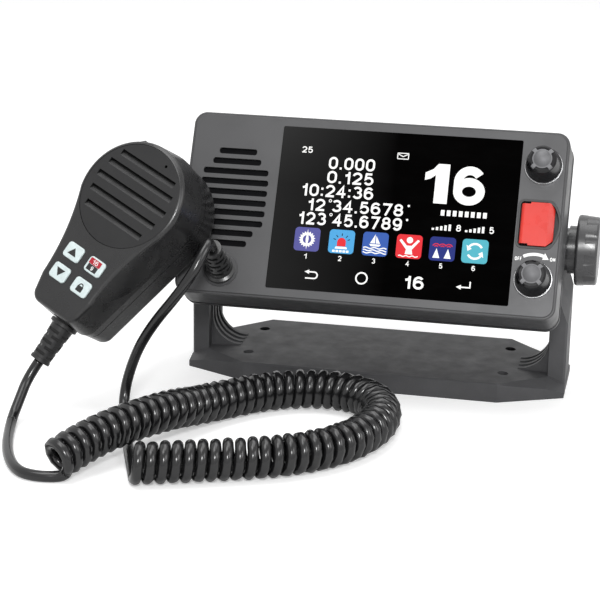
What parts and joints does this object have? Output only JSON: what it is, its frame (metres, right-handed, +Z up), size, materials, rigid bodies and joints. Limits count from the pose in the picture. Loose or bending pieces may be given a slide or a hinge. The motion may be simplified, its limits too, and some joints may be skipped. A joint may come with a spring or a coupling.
{
  "type": "vhf marine radio",
  "caption": "Fixed-mount marine VHF transceiver with colour display, tilting gimbal bracket, loudspeaker grille, rotary dials, covered alarm key, fist microphone and curly cord",
  "frame": {"origin": "centre of the four bolt holes of the bracket, on the underside of its base plate", "axes": "+X to the right along the radio, -Y to the front where the display faces, +Z up from the surface it is bolted to"},
  "size_m": [0.254, 0.2177, 0.1273],
  "materials": {
    "bracket_coat": "satin charcoal powder coat",
    "knob_plastic": "moulded satin charcoal",
    "stainless": "brushed stainless",
    "washer_rubber": "matt black",
    "case_plastic": "satin dark grey",
    "face_paint": "metallic grey",
    "cast_case": "black anodised casting",
    "screen_glass": "gloss black",
    "lcd": "gloss black",
    "board": "green solder mask",
    "speaker_paper": "dark grey",
    "dial_gloss": "gloss black",
    "dial_cap": "light grey",
    "dial_ring": "bright ring",
    "encoder": "plain",
    "distress_red": "gloss red",
    "connector": "nickel",
    "mic_plastic": "satin black",
    "key_pad": "pale grey",
    "cord": "glossy black"
  },
  "bodies": {
    "root": {"bracket": "bracket_coat", "panel_cord": "cord", "coil_cord": "cord", "mic_cord_lower": "cord"},
    "clamp_left": {"clamp_knob_left": "knob_plastic", "clamp_stud_left": "stainless"},
    "clamp_right": {"clamp_knob_right": "knob_plastic", "clamp_stud_right": "stainless"},
    "squelch": {"squelch_knob": "dial_gloss", "squelch_knob_cap": "dial_cap", "squelch_shaft": "stainless"},
    "volume": {"volume_knob": "dial_gloss", "volume_knob_cap": "dial_cap", "volume_shaft": "stainless"},
    "distress_lid": {"distress_cover": "distress_red"},
    "distress_key": {"distress_button": "distress_red"},
    "mic": {"mic_front_shell": "mic_plastic", "mic_rear_shell": "mic_plastic", "mic_grille": "mic_plastic", "mic_board": "board", "mic_capsule": "speaker_paper", "mic_hanger_stud": "stainless", "mic_screws": "stainless", "mic_boot": "washer_rubber"},
    "mic_up": {"mic_key_up": "key_pad"},
    "mic_down": {"mic_key_down": "key_pad"},
    "mic_channel": {"mic_key_channel": "key_pad"},
    "mic_lock": {"mic_key_lock": "key_pad"},
    "mic_talk": {"mic_ptt": "mic_plastic"},
    "radio": {"antenna_socket": "connector", "board_screws": "stainless", "control_board": "board", "cord_gland": "case_plastic", "data_socket": "connector", "display_glass": "screen_glass", "distress_hinge_pin": "stainless", "distress_spring": "stainless", "distress_well": "case_plastic", "face_plate": "face_paint", "front_bezel": "case_plastic", "gland_boot": "washer_rubber", "housing_gasket": "washer_rubber", "housing_screws": "stainless", "lcd_module": "lcd", "main_board": "board", "mic_cord_upper": "cord", "pivot_washer_left": "washer_rubber", "pivot_washer_right": "washer_rubber", "power_gland": "connector", "rear_housing": "cast_case", "speaker": "speaker_paper", "speaker_baffle": "speaker_paper", "squelch_encoder": "encoder", "squelch_ring": "dial_ring", "volume_encoder": "encoder", "volume_ring": "dial_ring"}
  },
  "joints": [
    {"name": "radio_tilt", "type": "hinge", "parent": "root", "child": "radio", "pos_m": [0, 0, 0.0675], "axis": [1, 0, 0], "range_deg": [-30, 12], "deforming": ["panel_cord", "mic_cord_lower"]},
    {"name": "clamp_left_turn", "type": "hinge", "parent": "radio", "child": "clamp_left", "pos_m": [0, 0, 0.0675], "axis": [-1, 0, 0], "range_deg": [0, 360]},
    {"name": "clamp_right_turn", "type": "hinge", "parent": "radio", "child": "clamp_right", "pos_m": [0, 0, 0.0675], "axis": [1, 0, 0], "range_deg": [0, 360]},
    {"name": "squelch_turn", "type": "hinge", "parent": "radio", "child": "squelch", "pos_m": [0.0768, -0.03054, 0.11553], "axis": [0, 0.8746, -0.4848], "range_deg": [-150, 150]},
    {"name": "volume_turn", "type": "hinge", "parent": "radio", "child": "volume", "pos_m": [0.0767, -0.05605, 0.06953], "axis": [0, 0.8746, -0.4848], "range_deg": [-150, 150]},
    {"name": "distress_cover_open", "type": "hinge", "parent": "radio", "child": "distress_lid", "pos_m": [0.0702, -0.03971, 0.08951], "axis": [0, -0.4848, -0.8746], "range_deg": [0, 90], "stiffness_Nm_per_rad": 0.004, "springref_deg": -20.05},
    {"name": "distress_press", "type": "slide", "parent": "radio", "child": "distress_key", "axis": [0, 0.8746, -0.4848], "range_m": [0, 0.001], "stiffness_N_per_m": 600, "springref_m": -0.0005},
    {"name": "mic_lift", "type": "slide", "parent": "radio", "child": "mic", "axis": [0, -0.8746, 0.4848], "range_m": [0, 0.06], "deforming": ["mic_cord_upper"]},
    {"name": "mic_up_press", "type": "slide", "parent": "mic", "child": "mic_up", "axis": [0.1922, 0.826, -0.5299], "range_m": [0, 0.0006], "stiffness_N_per_m": 500, "springref_m": -0.0005},
    {"name": "mic_down_press", "type": "slide", "parent": "mic", "child": "mic_down", "axis": [0.1922, 0.826, -0.5299], "range_m": [0, 0.0006], "stiffness_N_per_m": 500, "springref_m": -0.0005},
    {"name": "mic_channel_press", "type": "slide", "parent": "mic", "child": "mic_channel", "axis": [0.1922, 0.826, -0.5299], "range_m": [0, 0.0006], "stiffness_N_per_m": 500, "springref_m": -0.0005},
    {"name": "mic_lock_press", "type": "slide", "parent": "mic", "child": "mic_lock", "axis": [0.1922, 0.826, -0.5299], "range_m": [0, 0.0006], "stiffness_N_per_m": 500, "springref_m": -0.0005},
    {"name": "mic_talk_press", "type": "slide", "parent": "mic", "child": "mic_talk", "axis": [0.5681, -0.534, -0.6262], "range_m": [0, 0.0015], "stiffness_N_per_m": 800, "springref_m": -0.0005}
  ]
}
